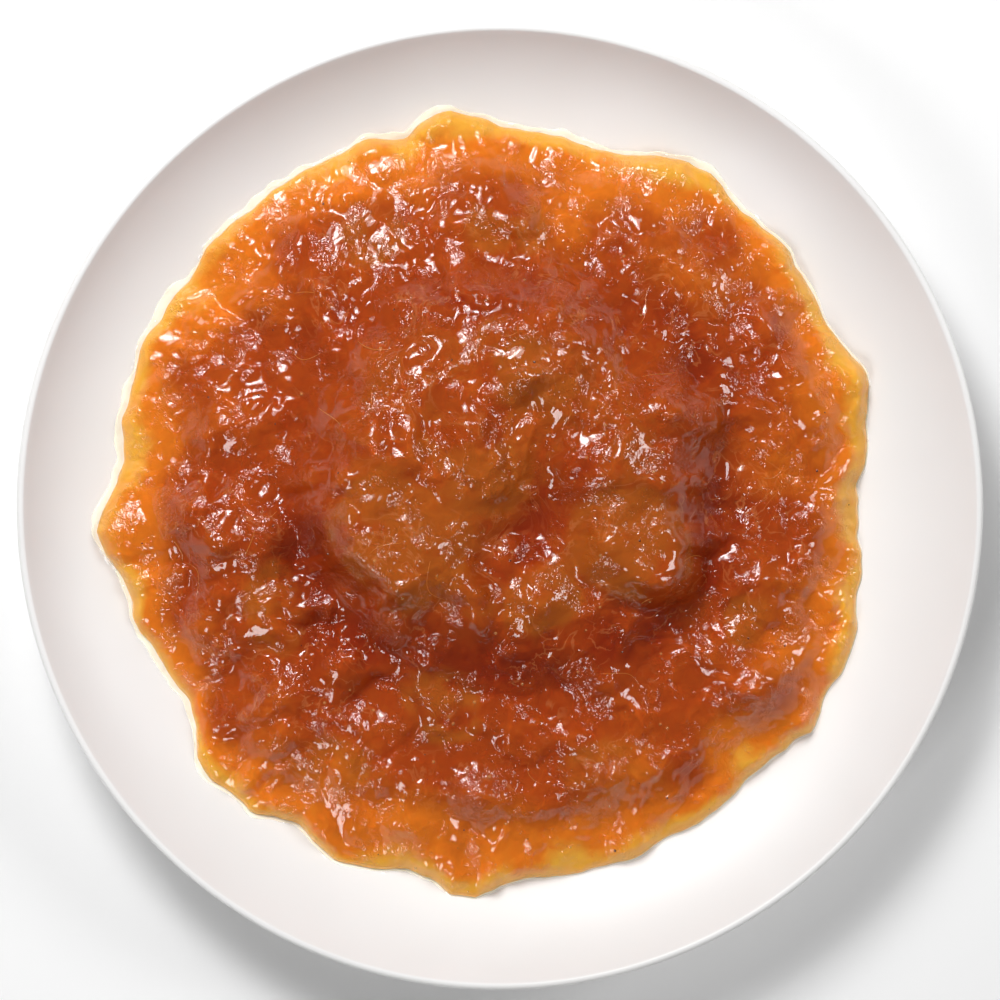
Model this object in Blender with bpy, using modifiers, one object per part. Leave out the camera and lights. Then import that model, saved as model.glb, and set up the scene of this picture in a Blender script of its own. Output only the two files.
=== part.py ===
"""Orange fruit marmalade heaped on a round white coupe plate.

The frame is in metres, +Z up, with its origin under the plate's centre, on the surface it stands on.
The heap is one solid on the plate's inner face, and the larger pieces of cooked fruit are solids set into it.
"""

import math
import random
from typing import NamedTuple

import bmesh
import bpy
from mathutils import Euler, Matrix, Vector, noise

# The plate
PLATE_RADIUS = 0.090
WELL_RADIUS = 0.060
WALL_ANGLE = math.radians(51.0)
FLOOR_TOP = 0.0052
BODY_THICKNESS = 0.0034
LIP_RADIUS = 0.0012
FOOT_OUTER_RADIUS = 0.0530
FOOT_WIDTH = 0.0040
FOOT_RECESS = 0.0015
WALL_STEPS = 6
LIP_STEPS = 3
PLATE_SEGMENTS = 64

# The heap of marmalade
HEAP_RADIUS = 0.0700
EDGE_THICKNESS = 0.0030
EDGE_WIDTH = 0.0032
APRON_RISE = 0.0100
APRON_WIDTH = 0.050
MOUND_CENTRE = (0.001, 0.008)
MOUND_RADIUS = 0.0345
MOUND_RISE = 0.0075
MOUND_SLOPE = 0.0200
SWELL_FADE = 0.0070
HEAP_SEGMENTS = 100
HEAP_RINGS = 25
EDGE_RINGS = (0.0, 0.0004, 0.0014, 0.0030)
BASE_RINGS = 4

# The small lumps of pulp all over the heap
LUMP_COUNT = 210
LUMP_SEED = 11
LUMP_RADIUS = (0.0026, 0.0055)
LUMP_HEIGHT = (0.0006, 0.0022)
RIPPLE_SIZE = 0.0090
RIPPLE_HEIGHT = 0.0008

# The pieces of cooked fruit
FRUIT_SEED = 5
FRUIT_UNEVEN = 0.17
FRUIT_ROUNDING = 0.20
GAP = 0.0003

FRUIT_COLOUR = (0.62, 0.26, 0.05, 1.0)
MARMALADE_COLOUR = (0.50, 0.13, 0.02, 1.0)
GLAZE_COLOUR = (0.86, 0.84, 0.82, 1.0)


class Lobe(NamedTuple):
    """A bulge of the heap's edge, or with a negative reach a bay. Angles are in degrees from +X."""

    angle: float
    reach: float
    spread: float


class Swell(NamedTuple):
    """A rounded rise in the heap's surface, or with a negative height a dip. The turn is in degrees."""

    x: float
    y: float
    length: float
    width: float
    height: float
    turn: float = 0.0


class Fold(NamedTuple):
    """A ridge along an arc, left where the marmalade was stirred and folded over. Angles are in degrees."""

    x: float
    y: float
    radius: float
    start: float
    sweep: float
    growth: float
    width: float
    height: float


class FruitPiece(NamedTuple):
    """A piece of cooked fruit set into the heap, standing proud of it by lift. Angles are in degrees."""

    name: str
    x: float
    y: float
    length: float
    width: float
    thickness: float
    turn: float
    tilt: float
    lift: float


LOBES = (
    Lobe(1, -0.0040, 8),
    Lobe(18, 0.0022, 7),
    Lobe(27, -0.0012, 4),
    Lobe(42, 0.0010, 9),
    Lobe(60, 0.0036, 7),
    Lobe(76, -0.0006, 6),
    Lobe(97, 0.0040, 6),
    Lobe(112, 0.0018, 5),
    Lobe(126, 0.0014, 5),
    Lobe(138, 0.0026, 5),
    Lobe(158, 0.0016, 9),
    Lobe(174, -0.0006, 4),
    Lobe(185, 0.0042, 6),
    Lobe(211, -0.0014, 7),
    Lobe(221, 0.0040, 4),
    Lobe(229, 0.0028, 4),
    Lobe(247, 0.0018, 6),
    Lobe(265, 0.0030, 4),
    Lobe(291, -0.0008, 12),
    Lobe(314, -0.0012, 6),
    Lobe(325, 0.0022, 4),
    Lobe(349, -0.0014, 6),
)

SWELLS = (
    # The crown: the left crest, the middle, and the upper bank
    Swell(-0.022, 0.000, 0.016, 0.010, 0.0030, 75),
    Swell(-0.004, 0.008, 0.011, 0.008, 0.0022, 20),
    Swell(-0.010, 0.023, 0.013, 0.008, 0.0020, 25),
    Swell(0.006, 0.026, 0.009, 0.008, 0.0022, 0),
    # The right crest and the bank that leads round to it
    Swell(0.024, 0.002, 0.015, 0.009, 0.0026, 300),
    Swell(0.028, 0.018, 0.009, 0.007, 0.0014, 40),
    # The valley that opens from the crown towards the front
    Swell(0.009, 0.010, 0.008, 0.004, -0.0032, 70),
    Swell(0.005, -0.006, 0.012, 0.006, -0.0042, 60),
    Swell(0.016, -0.015, 0.008, 0.005, -0.0024, 330),
    # The dark trough in front of the crown
    Swell(-0.006, -0.029, 0.016, 0.006, -0.0026, 5),
    Swell(-0.032, -0.019, 0.012, 0.006, -0.0022, 300),
    Swell(0.037, -0.010, 0.010, 0.006, -0.0020, 70),
    # The broad banks of the outer ring
    Swell(-0.045, -0.010, 0.013, 0.009, 0.0020, 95),
    Swell(-0.050, 0.017, 0.012, 0.009, 0.0018, 70),
    Swell(-0.030, 0.046, 0.015, 0.009, 0.0024, 35),
    Swell(0.003, 0.054, 0.014, 0.008, 0.0022, 0),
    Swell(0.033, 0.044, 0.014, 0.009, 0.0024, 320),
    Swell(0.051, 0.020, 0.013, 0.009, 0.0022, 290),
    Swell(0.056, -0.010, 0.013, 0.008, 0.0018, 85),
    Swell(0.042, -0.036, 0.014, 0.009, 0.0022, 45),
    Swell(0.015, -0.050, 0.016, 0.008, 0.0022, 12),
    Swell(-0.014, -0.052, 0.014, 0.008, 0.0018, 350),
    Swell(-0.040, -0.040, 0.014, 0.008, 0.0022, 315),
    # The hollows between the banks
    Swell(-0.040, 0.032, 0.007, 0.005, -0.0018, 50),
    Swell(-0.014, 0.041, 0.009, 0.004, -0.0018, 20),
    Swell(0.019, 0.040, 0.008, 0.004, -0.0020, 335),
    Swell(0.042, 0.005, 0.010, 0.004, -0.0018, 80),
    Swell(-0.036, 0.005, 0.010, 0.004, -0.0016, 80),
    Swell(0.028, -0.042, 0.007, 0.004, -0.0016, 40),
    Swell(-0.028, -0.034, 0.007, 0.004, -0.0016, 310),
    # Small lumps that show by themselves
    Swell(0.034, 0.017, 0.005, 0.004, 0.0016, 350),
    Swell(-0.063, 0.024, 0.004, 0.004, 0.0010, 0),
)

FOLDS = (
    Fold(-0.004, 0.012, 0.027, 115, -150, 0.000, 0.0026, 0.0018),
    Fold(-0.004, 0.010, 0.031, 175, 110, 0.001, 0.0024, 0.0014),
    Fold(0.000, 0.012, 0.038, 20, 105, 0.002, 0.0024, 0.0013),
    Fold(-0.006, 0.014, 0.017, 140, 120, 0.001, 0.0022, 0.0014),
    Fold(0.000, 0.004, 0.052, 150, 85, 0.003, 0.0026, 0.0012),
    Fold(0.002, 0.002, 0.055, 235, 80, 0.002, 0.0026, 0.0012),
    Fold(0.000, 0.004, 0.057, 330, 75, 0.001, 0.0026, 0.0013),
)

FRUIT_PIECES = (
    FruitPiece("fruit_right_slab", 0.0252, -0.0072, 0.0240, 0.0155, 0.0080, 322, -6, 0.0026),
    FruitPiece("fruit_left_slab", -0.0196, -0.0066, 0.0225, 0.0190, 0.0085, 315, -7, 0.0024),
    FruitPiece("fruit_middle", -0.0028, 0.0042, 0.0150, 0.0090, 0.0060, 10, 6, 0.0018),
    FruitPiece("fruit_front_small", 0.0082, -0.0176, 0.0115, 0.0085, 0.0056, 20, 5, 0.0022),
    FruitPiece("fruit_upper", 0.0060, 0.0240, 0.0105, 0.0095, 0.0058, 30, -8, 0.0018),
    FruitPiece("fruit_teardrop", -0.0103, -0.0342, 0.0165, 0.0120, 0.0062, 100, 8, 0.0020),
    FruitPiece("fruit_left_oval", -0.0424, -0.0182, 0.0150, 0.0080, 0.0056, 100, 6, 0.0018),
    FruitPiece("fruit_front_left", -0.0319, -0.0476, 0.0120, 0.0095, 0.0054, 330, 4, 0.0016),
    FruitPiece("fruit_front_right", 0.0188, -0.0491, 0.0120, 0.0076, 0.0052, 20, 6, 0.0018),
    FruitPiece("fruit_back_left", -0.0240, 0.0506, 0.0100, 0.0095, 0.0054, 30, -5, 0.0014),
    FruitPiece("fruit_back", 0.0024, 0.0520, 0.0130, 0.0072, 0.0052, 5, -6, 0.0014),
    FruitPiece("fruit_right_small", 0.0459, -0.0208, 0.0090, 0.0058, 0.0048, 75, 5, 0.0016),
)


def clear_scene():
    """Removes whatever the open scene holds."""
    for obj in list(bpy.data.objects):
        bpy.data.objects.remove(obj)


def new_collection(name):
    """Adds an empty collection to the scene."""
    collection = bpy.data.collections.new(name)
    bpy.context.scene.collection.children.link(collection)
    return collection


def new_object(name, mesh, collection):
    """Adds an object with this mesh to a collection."""
    obj = bpy.data.objects.new(name, mesh)
    collection.objects.link(obj)
    return obj


def finish_material(name, colour, roughness):
    """A Principled material of one colour."""
    material = bpy.data.materials.new(name)
    material.use_nodes = True
    shader = material.node_tree.nodes["Principled BSDF"]
    shader.inputs["Base Color"].default_value = colour
    shader.inputs["Roughness"].default_value = roughness
    shader.inputs["Metallic"].default_value = 0.0
    return material


def turned(name, profile, segments, collection):
    """A closed solid turned round the Z axis from (radius, height) points, which run from the top centre outwards,
    down the outer side and back to the centre below."""
    mesh = bpy.data.meshes.new(name)
    edges = [(i, i + 1) for i in range(len(profile) - 1)]
    mesh.from_pydata([(radius, 0.0, height) for radius, height in profile], edges, [])
    obj = new_object(name, mesh, collection)
    screw = obj.modifiers.new("Turn", "SCREW")
    screw.steps = segments
    screw.render_steps = segments
    screw.use_merge_vertices = True
    screw.merge_threshold = 0.00001
    return obj


def smoothstep(share):
    """Eases from 0 to 1 as the share goes from 0 to 1."""
    share = min(1.0, max(0.0, share))
    return share * share * (3.0 - 2.0 * share)


def wall_arc():
    """Radius of the arc that the plate's inner face follows from the well to the lip."""
    lip = LIP_RADIUS * (1.0 + math.sin(WALL_ANGLE))
    return (PLATE_RADIUS - WELL_RADIUS - lip) / math.sin(WALL_ANGLE)


def plate_face(radius):
    """Height of the plate's inner face at this distance from its centre."""
    arc = wall_arc()
    out = max(0.0, radius - WELL_RADIUS)
    return FLOOR_TOP + arc - math.sqrt(arc * arc - out * out)


def plate_profile():
    """The plate's section, from the centre of the well over the lip to the centre of the foot."""
    arc = wall_arc()
    points = [(0.0, FLOOR_TOP), (WELL_RADIUS * 0.5, FLOOR_TOP)]
    for step in range(WALL_STEPS + 1):
        angle = WALL_ANGLE * step / WALL_STEPS
        points.append((WELL_RADIUS + arc * math.sin(angle), FLOOR_TOP + arc * (1.0 - math.cos(angle))))
    # The lip is a half round on the wall's end, from the inner face to the outer one
    centre = Vector(points[-1]) + LIP_RADIUS * Vector((math.sin(WALL_ANGLE), -math.cos(WALL_ANGLE)))
    for step in range(1, LIP_STEPS + 1):
        angle = WALL_ANGLE + math.pi / 2.0 - math.pi * step / LIP_STEPS
        points.append((centre.x + LIP_RADIUS * math.cos(angle), centre.y + LIP_RADIUS * math.sin(angle)))
    # The outer face is the same arc, set out by a wall that thickens from the lip to the body
    for step in range(WALL_STEPS - 1, -1, -1):
        share = step / WALL_STEPS
        angle = WALL_ANGLE * share
        wall = 2.0 * LIP_RADIUS * share + BODY_THICKNESS * (1.0 - share)
        points.append(
            (
                WELL_RADIUS + (arc + wall) * math.sin(angle),
                FLOOR_TOP + arc - (arc + wall) * math.cos(angle),
            )
        )
    underside = FLOOR_TOP - BODY_THICKNESS
    foot_inner = FOOT_OUTER_RADIUS - FOOT_WIDTH
    points += [
        (FOOT_OUTER_RADIUS + underside * 0.8, underside),
        (FOOT_OUTER_RADIUS, 0.0),
        (foot_inner, 0.0),
        (foot_inner - FOOT_RECESS * 0.8, FOOT_RECESS),
        (0.0, FOOT_RECESS),
    ]
    return points


def build_plate(collection):
    """The coupe plate: a flat well, a wall that curves up to a rounded lip, and a foot ring."""
    plate = turned("plate", plate_profile(), PLATE_SEGMENTS, collection)
    plate.data.materials.append(finish_material("white_glaze", GLAZE_COLOUR, 0.15))
    return plate


def heap_edge(angle):
    """Distance from the plate's centre to the heap's edge, at this angle in radians."""
    reach = HEAP_RADIUS
    for lobe in LOBES:
        away = abs((math.degrees(angle) - lobe.angle + 180.0) % 360.0 - 180.0)
        reach += lobe.reach * math.exp(-((away / lobe.spread) ** 2))
    return reach


def swell_height(swell, x, y):
    """What one swell adds to the surface at a point."""
    turn = math.radians(swell.turn)
    along = (x - swell.x) * math.cos(turn) + (y - swell.y) * math.sin(turn)
    across = (y - swell.y) * math.cos(turn) - (x - swell.x) * math.sin(turn)
    return swell.height * math.exp(-((along / swell.length) ** 2) - (across / swell.width) ** 2)


def fold_height(fold, x, y):
    """What one fold adds to the surface at a point. Its ends fade away, and its radius grows along it."""
    angle = math.degrees(math.atan2(y - fold.y, x - fold.x))
    travelled = (angle - fold.start) * math.copysign(1.0, fold.sweep) % 360.0
    share = travelled / abs(fold.sweep)
    if share > 1.0:
        return 0.0
    off = math.hypot(x - fold.x, y - fold.y) - fold.radius - fold.growth * share
    fade = smoothstep(share / 0.2) * smoothstep((1.0 - share) / 0.2)
    return fold.height * fade * math.exp(-((off / fold.width) ** 2))


def pulp_lumps():
    """The small lumps, scattered evenly by area with a fixed seed."""
    draw = random.Random(LUMP_SEED)
    lumps = []
    for _ in range(LUMP_COUNT):
        angle = draw.uniform(0.0, math.tau)
        distance = (HEAP_RADIUS - SWELL_FADE) * math.sqrt(draw.random())
        length = draw.uniform(*LUMP_RADIUS)
        lumps.append(
            Swell(
                distance * math.cos(angle),
                distance * math.sin(angle),
                length,
                length * draw.uniform(0.55, 0.9),
                draw.uniform(*LUMP_HEIGHT),
                draw.uniform(0.0, 180.0),
            )
        )
    return lumps


def heap_thickness(x, y, lumps):
    """Thickness of the marmalade over the plate at a point."""
    distance = math.hypot(x, y)
    inside = max(0.0, heap_edge(math.atan2(y, x)) - distance)
    rounding = 1.0 - min(1.0, inside / EDGE_WIDTH)
    edge = EDGE_THICKNESS * math.sqrt(1.0 - rounding * rounding)
    apron = APRON_RISE * math.sin(math.pi / 2.0 * min(1.0, inside / APRON_WIDTH))
    from_crown = math.hypot(x - MOUND_CENTRE[0], y - MOUND_CENTRE[1])
    mound = MOUND_RISE * smoothstep((MOUND_RADIUS + MOUND_SLOPE / 2.0 - from_crown) / MOUND_SLOPE)
    relief = sum(swell_height(swell, x, y) for swell in SWELLS)
    relief += sum(fold_height(fold, x, y) for fold in FOLDS)
    relief += sum(swell_height(lump, x, y) for lump in lumps)
    relief += RIPPLE_HEIGHT * noise.noise(Vector((x, y, 0.0)) / RIPPLE_SIZE)
    return edge + apron + mound + relief * smoothstep(inside / SWELL_FADE)


def heap_top(x, y, lumps):
    """Height of the heap's surface at a point."""
    return plate_face(math.hypot(x, y)) + GAP + heap_thickness(x, y, lumps)


def build_heap(collection, lumps):
    """The heap: a turned disc of two layers, whose points are then moved to the heap's edge, surface and base."""
    inner = [ring / HEAP_RINGS for ring in range(HEAP_RINGS)]
    # Layer 1 is the surface and layer -1 the base. Past 1, a ring is measured inwards from the heap's edge.
    profile = [(share, 1.0) for share in inner]
    profile += [(2.0 - inset / max(EDGE_RINGS), 1.0) for inset in reversed(EDGE_RINGS)]
    profile += [(1.0 - step / BASE_RINGS, -1.0) for step in range(BASE_RINGS + 1)]
    disc = turned("marmalade_disc", profile, HEAP_SEGMENTS, collection)
    mesh = evaluated_mesh(disc)
    bpy.data.objects.remove(disc)
    heap = new_object("marmalade", mesh, collection)
    for vertex in mesh.vertices:
        share = math.hypot(vertex.co.x, vertex.co.y)
        angle = math.atan2(vertex.co.y, vertex.co.x)
        edge = heap_edge(angle)
        if share > 1.0:
            distance = edge - (2.0 - share) * max(EDGE_RINGS)
        else:
            distance = share * (edge - max(EDGE_RINGS))
        x, y = distance * math.cos(angle), distance * math.sin(angle)
        if vertex.co.z > 0.0:
            z = heap_top(x, y, lumps)
        else:
            z = plate_face(distance) + GAP
        vertex.co = (x, y, z)
    mesh.materials.append(finish_material("orange_marmalade", MARMALADE_COLOUR, 0.12))
    return heap


def fruit_mesh(piece, draw):
    """An uneven rounded block: a cage of 26 points, each moved a little, for a subdivision surface to smooth."""
    shape = bmesh.new()
    bmesh.ops.create_cube(shape, size=1.0)
    bmesh.ops.subdivide_edges(shape, edges=shape.edges[:], cuts=1, use_grid_fill=True)
    size = Vector((piece.length, piece.width, piece.thickness))
    for vertex in shape.verts:
        # The corners are drawn in towards the ball that touches the cube's faces
        vertex.co = vertex.co.lerp(vertex.co.normalized() * 0.55, FRUIT_ROUNDING)
        vertex.co += Vector(draw.uniform(-FRUIT_UNEVEN, FRUIT_UNEVEN) for _ in range(3))
        vertex.co *= size
    mesh = bpy.data.meshes.new(piece.name)
    shape.to_mesh(mesh)
    shape.free()
    mesh.shade_smooth()
    return mesh


def smoothed(obj):
    """Gives an object the subdivision surface that rounds its cage."""
    surface = obj.modifiers.new("Round", "SUBSURF")
    surface.levels = 1
    surface.render_levels = 1


def build_fruit(collection, cutters, lumps):
    """Each piece of fruit in its place, and beside it a cutter that is larger by the gap all round."""
    draw = random.Random(FRUIT_SEED)
    material = finish_material("amber_fruit", FRUIT_COLOUR, 0.15)
    for piece in FRUIT_PIECES:
        mesh = fruit_mesh(piece, draw)
        mesh.materials.append(material)
        height = heap_top(piece.x, piece.y, lumps) + piece.lift - piece.thickness / 2.0
        lean = Euler((math.radians(piece.tilt), 0.0, math.radians(piece.turn)))
        place = Matrix.LocRotScale(Vector((piece.x, piece.y, height)), lean, None)
        fruit = new_object(piece.name, mesh, collection)
        fruit.matrix_world = place
        smoothed(fruit)
        cutter = new_object("cutter_" + piece.name, mesh, cutters)
        cutter.matrix_world = place
        smoothed(cutter)
        grow = cutter.modifiers.new("Gap", "DISPLACE")
        grow.strength = GAP
        grow.mid_level = 0.0
        cutter.hide_render = True
        cutter.display_type = "WIRE"


def evaluated_mesh(obj):
    """A new mesh of the object as its modifiers leave it."""
    graph = bpy.context.evaluated_depsgraph_get()
    return bpy.data.meshes.new_from_object(obj.evaluated_get(graph))


def connected_points(start):
    """All the points that edges join to this one."""
    reached = {start}
    waiting = [start]
    while waiting:
        point = waiting.pop()
        for edge in point.link_edges:
            other = edge.other_vert(point)
            if other not in reached:
                reached.add(other)
                waiting.append(other)
    return reached


def drop_scraps(mesh):
    """Leaves only the largest connected body of a mesh."""
    shape = bmesh.new()
    shape.from_mesh(mesh)
    left = set(shape.verts)
    bodies = []
    while left:
        bodies.append(connected_points(next(iter(left))))
        left -= bodies[-1]
    main_body = max(bodies, key=len)
    bmesh.ops.delete(shape, geom=[point for point in shape.verts if point not in main_body], context="VERTS")
    shape.to_mesh(mesh)
    shape.free()


def cut_beds(heap, cutters):
    """Cuts the beds that the pieces of fruit lie in, and drops the crumbs that the cuts leave loose."""
    beds = heap.modifiers.new("Fruit beds", "BOOLEAN")
    beds.operation = "DIFFERENCE"
    beds.operand_type = "COLLECTION"
    beds.collection = cutters
    beds.solver = "EXACT"
    cut = evaluated_mesh(heap)
    drop_scraps(cut)
    heap.modifiers.clear()
    heap.data = cut


def build():
    """Builds the plate, the heap and the fruit."""
    clear_scene()
    parts = new_collection("marmalade_on_plate")
    cutters = new_collection("cutters")
    lumps = pulp_lumps()
    build_plate(parts)
    heap = build_heap(parts, lumps)
    build_fruit(parts, cutters, lumps)
    bpy.context.view_layer.update()
    cut_beds(heap, cutters)


build()
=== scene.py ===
"""The looks of a plate of orange marmalade.

A fine coupe plate, the wet heap of fruit gel on it, the pieces of cooked fruit glazed over by the gel, the
thin syrup that has run out round it, with its beads, and the bubbles, fibres and specks of peel in it.
Lengths are in metres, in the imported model's frame.
"""

import logging
import math
import random
from dataclasses import dataclass
from enum import Enum

import bpy
import numpy as np
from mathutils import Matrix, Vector, noise
from mathutils.bvhtree import BVHTree


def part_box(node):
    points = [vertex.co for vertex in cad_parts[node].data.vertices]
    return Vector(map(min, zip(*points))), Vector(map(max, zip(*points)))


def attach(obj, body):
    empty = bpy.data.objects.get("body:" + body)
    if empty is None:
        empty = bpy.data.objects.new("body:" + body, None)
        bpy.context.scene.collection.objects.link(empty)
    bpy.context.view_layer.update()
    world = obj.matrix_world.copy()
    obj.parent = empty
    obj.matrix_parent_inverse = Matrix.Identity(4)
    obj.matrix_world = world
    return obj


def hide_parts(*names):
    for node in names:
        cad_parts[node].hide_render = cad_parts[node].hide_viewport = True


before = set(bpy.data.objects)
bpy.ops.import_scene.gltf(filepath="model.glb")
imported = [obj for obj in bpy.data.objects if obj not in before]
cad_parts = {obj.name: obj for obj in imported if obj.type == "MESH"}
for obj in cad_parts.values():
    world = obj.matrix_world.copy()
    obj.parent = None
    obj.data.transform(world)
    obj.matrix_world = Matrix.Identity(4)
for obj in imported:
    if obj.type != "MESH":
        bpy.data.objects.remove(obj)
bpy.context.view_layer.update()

log = logging.getLogger("marmalade")

MM = 0.001
GEL_GROUP = "gel_tone"
WRINKLE_GROUP = "wet_wrinkles"
# Besides the gel's own colours, the tones hold painted shade for hollows, painted light for raised places and
# a painted pinkish sheen
TONES = ("painted_shade", "body", "ridge", "amber", "painted_sheen", "thin", "edge")
CLOUD_SIZE = 11 * MM
FLECK_SIZE = 2.6 * MM
THREAD_SIZE = 7 * MM
WIGGLE_SIZE = 1.3 * MM
CONE_SIZE = 1.5 * MM
CONE_BEND = 1.6 * MM
CRINKLED_PATCH_SIZE = 5 * MM
CALM_SHARE = 0.07
MERGE_DISTANCE = 0.01 * MM
DOWN = Vector((0.0, 0.0, -1.0))
SKY = 0.1
Colour = tuple[float, float, float, float]
Socket = bpy.types.NodeSocket


class Slot(Enum):
    """The record's material slots."""

    GLAZE = "white_glaze"
    GEL = "orange_marmalade"
    FRUIT = "amber_fruit"


class Layer(Enum):
    """Names of the per-point values that the gel's and the fruit's materials read."""

    # Painted shade in hollows and pools, and painted light on raised places
    HOLLOW_SHADE = "hollow"
    THIN = "thin"
    AMBER = "amber"


def deselect_all() -> None:
    """Leaves object mode with nothing selected."""
    if bpy.context.object and bpy.context.object.mode != "OBJECT":
        bpy.ops.object.mode_set(mode="OBJECT")
    bpy.ops.object.select_all(action="DESELECT")


def activate(obj: bpy.types.Object) -> None:
    """Selects one object alone and makes it the active one.

    Args:
        obj: The object.
    """
    deselect_all()
    obj.select_set(True)
    bpy.context.view_layer.objects.active = obj


def apply_all_modifiers(obj: bpy.types.Object) -> None:
    """Applies an object's modifiers, in their order.

    Args:
        obj: The object.
    """
    activate(obj)
    for modifier in list(obj.modifiers):
        bpy.ops.object.modifier_apply(modifier=modifier.name)


def settle_in_mesh(obj: bpy.types.Object) -> None:
    """Moves an object's place, turn and size into its mesh."""
    activate(obj)
    bpy.ops.object.transform_apply(location=True, rotation=True, scale=True)


def edit_all(obj: bpy.types.Object) -> None:
    """Enters edit mode with the whole of an object's mesh selected.

    Args:
        obj: The object.
    """
    activate(obj)
    bpy.ops.object.mode_set(mode="EDIT")
    bpy.ops.mesh.select_all(action="SELECT")


def turn_outward(obj: bpy.types.Object) -> None:
    """Turns all faces of an object's mesh outwards.

    Args:
        obj: The object.
    """
    edit_all(obj)
    bpy.ops.mesh.normals_make_consistent(inside=False)
    bpy.ops.object.mode_set(mode="OBJECT")


def select_border(obj: bpy.types.Object) -> None:
    """Enters edit mode with only the object's open edges selected.

    Args:
        obj: The object.
    """
    activate(obj)
    bpy.ops.object.mode_set(mode="EDIT")
    bpy.ops.mesh.select_mode(type="EDGE")
    bpy.ops.mesh.select_all(action="DESELECT")
    bpy.ops.mesh.select_non_manifold()


def read_points(obj: bpy.types.Object) -> np.ndarray:
    """All points of an object's mesh.

    Args:
        obj: The object.

    Returns:
        One row of x, y and z for each point.
    """
    flat = np.empty(len(obj.data.vertices) * 3)
    obj.data.vertices.foreach_get("co", flat)
    return flat.reshape(-1, 3)


def write_points(obj: bpy.types.Object, points: np.ndarray) -> None:
    """Moves all points of an object's mesh to these places."""
    obj.data.vertices.foreach_set("co", points.ravel())
    obj.data.update()


def read_normals(obj: bpy.types.Object) -> np.ndarray:
    """The outward direction at each point of an object's mesh.

    Args:
        obj: The object.

    Returns:
        One row of x, y and z for each point.
    """
    flat = np.empty(len(obj.data.vertices) * 3, dtype=np.float32)
    obj.data.vertex_normals.foreach_get("vector", flat)
    return flat.reshape(-1, 3)


def write_layer(obj: bpy.types.Object, layer: Layer, values: np.ndarray) -> None:
    """Stores one value from 0 to 1 for each point, under the name that the materials read."""
    attribute = obj.data.attributes.new(layer.value, "FLOAT", "POINT")
    attribute.data.foreach_set("value", np.clip(values, 0.0, 1.0).astype(np.float32))


def smoothstep(share: np.ndarray) -> np.ndarray:
    """Eases from 0 to 1 as each share goes from 0 to 1."""
    share = np.clip(share, 0.0, 1.0)
    return share * share * (3.0 - 2.0 * share)


def noise_over(points: np.ndarray, size: float, seed: float = 0.0, octaves: int = 1) -> np.ndarray:
    """Smooth noise at each point.

    Args:
        points: One row of x, y and z for each point.
        size: Length of one swell of the noise, in metres.
        seed: Moves the noise, so that two calls don't match.
        octaves: How many finer layers are added.

    Returns:
        One number for each point, roughly from -1 to 1.
    """
    offset = Vector((seed * 3.1, seed * 7.7, seed * 5.3))
    scaled = points / size
    if octaves == 1:
        return np.array([noise.noise(Vector(row) + offset) for row in scaled])
    return np.array([noise.fractal(Vector(row) + offset, 1.0, 2.1, octaves) for row in scaled])


def surface_of(names: list[str]) -> BVHTree:
    """Prepares meshes for searches of their surface.

    Args:
        names: The objects' names.

    Returns:
        One search tree of all their faces.
    """
    points: list[Vector] = []
    faces: list[list[int]] = []
    for name in names:
        mesh = bpy.data.objects[name].data
        start = len(points)
        points += [vertex.co.copy() for vertex in mesh.vertices]
        faces += [[start + index for index in face.vertices] for face in mesh.polygons]
    return BVHTree.FromPolygons(points, faces)


def drop_onto(surface: BVHTree, x: float, y: float) -> float | None:
    """Height of the surface under a point high above the table, or None beside it."""
    hit = surface.ray_cast(Vector((x, y, SKY)), DOWN)[0]
    return hit.z if hit else None


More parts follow.
